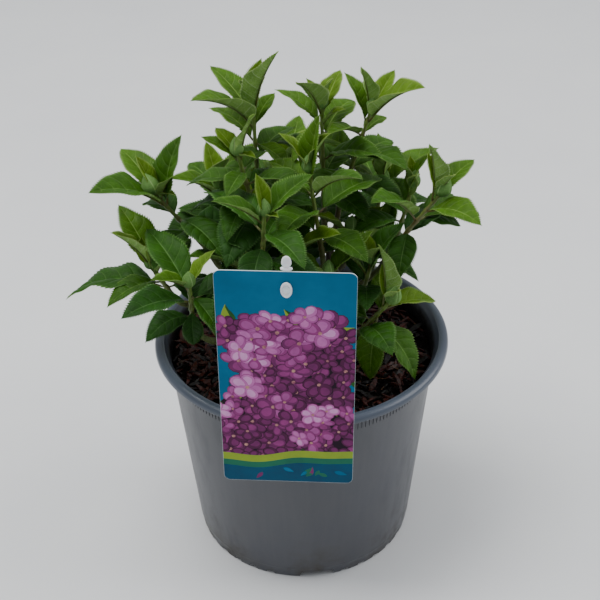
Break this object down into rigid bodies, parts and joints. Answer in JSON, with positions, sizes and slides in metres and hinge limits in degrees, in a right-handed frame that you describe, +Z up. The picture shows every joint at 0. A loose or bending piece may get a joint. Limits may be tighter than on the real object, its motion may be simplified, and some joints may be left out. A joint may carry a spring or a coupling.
{
  "type": "potted panicle hydrangea",
  "caption": "Young panicle hydrangea in leaf, in a round grey nursery pot with soil and a label card on a holder stick.",
  "frame": {"origin": "under the middle of the pot, on the level surface that it stands on", "axes": "+Z up, +X to the right of someone facing the label card, +Y away from them, so the card is on the -Y side"},
  "size_m": [0.2641, 0.2179, 0.3368],
  "materials": {
    "pot_plastic": "satin mid grey",
    "potting_soil": "dark peat with bark chips",
    "printed_card": "teal printed card",
    "holder_plastic": "milky white",
    "bark": "green to brown young bark",
    "foliage": "satin green leaf"
  },
  "bodies": {
    "root": {"bough_back": "bark", "bough_back_left": "bark", "bough_back_right": "bark", "bough_centre": "bark", "bough_centre_left": "bark", "bough_far_left": "bark", "bough_front": "bark", "bough_front_left": "bark", "bough_front_right": "bark", "bough_inner_front": "bark", "bough_inner_right": "bark", "bough_left": "bark", "bough_low_back_left": "bark", "bough_low_centre": "bark", "bough_low_far_right": "bark", "bough_low_left": "bark", "bough_low_right": "bark", "bough_rear": "bark", "bough_rear_left": "bark", "bough_rear_right": "bark", "bough_right": "bark", "bough_upper_right": "bark", "label_card": "printed_card", "label_holder": "holder_plastic", "main_stem": "bark", "pot": "pot_plastic", "shoot_back": "foliage", "shoot_back_left": "foliage", "shoot_back_right": "foliage", "shoot_centre": "foliage", "shoot_centre_left": "foliage", "shoot_far_left": "foliage", "shoot_front": "foliage", "shoot_front_left": "foliage", "shoot_front_right": "foliage", "shoot_inner_front": "foliage", "shoot_inner_right": "foliage", "shoot_left": "foliage", "shoot_low_back_left": "foliage", "shoot_low_centre": "foliage", "shoot_low_far_right": "foliage", "shoot_low_left": "foliage", "shoot_low_right": "foliage", "shoot_rear": "foliage", "shoot_rear_left": "foliage", "shoot_rear_right": "foliage", "shoot_right": "foliage", "shoot_upper_right": "foliage", "soil": "potting_soil"}
  },
  "joints": []
}
